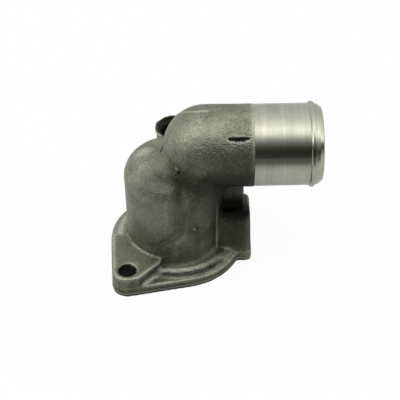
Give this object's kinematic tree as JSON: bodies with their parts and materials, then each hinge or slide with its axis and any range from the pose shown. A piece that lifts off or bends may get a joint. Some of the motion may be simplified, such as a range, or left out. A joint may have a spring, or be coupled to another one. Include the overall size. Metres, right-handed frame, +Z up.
{
  "type": "coolant outlet housing",
  "caption": "Cast aluminium coolant outlet housing: a domed round body on a bolted flange, a turned hose neck to one side, a port block below it and a small hose stub.",
  "frame": {"origin": "centre of the round flange on its gasket face", "axes": "+Z up through the body, square to the gasket face; +X along the hose neck, pointing out of its mouth"},
  "size_m": [0.1302, 0.0982, 0.1058],
  "materials": {
    "cast_aluminium": "sand cast, with the hose neck turned bright"
  },
  "bodies": {
    "root": {"housing": "cast_aluminium"}
  },
  "joints": []
}
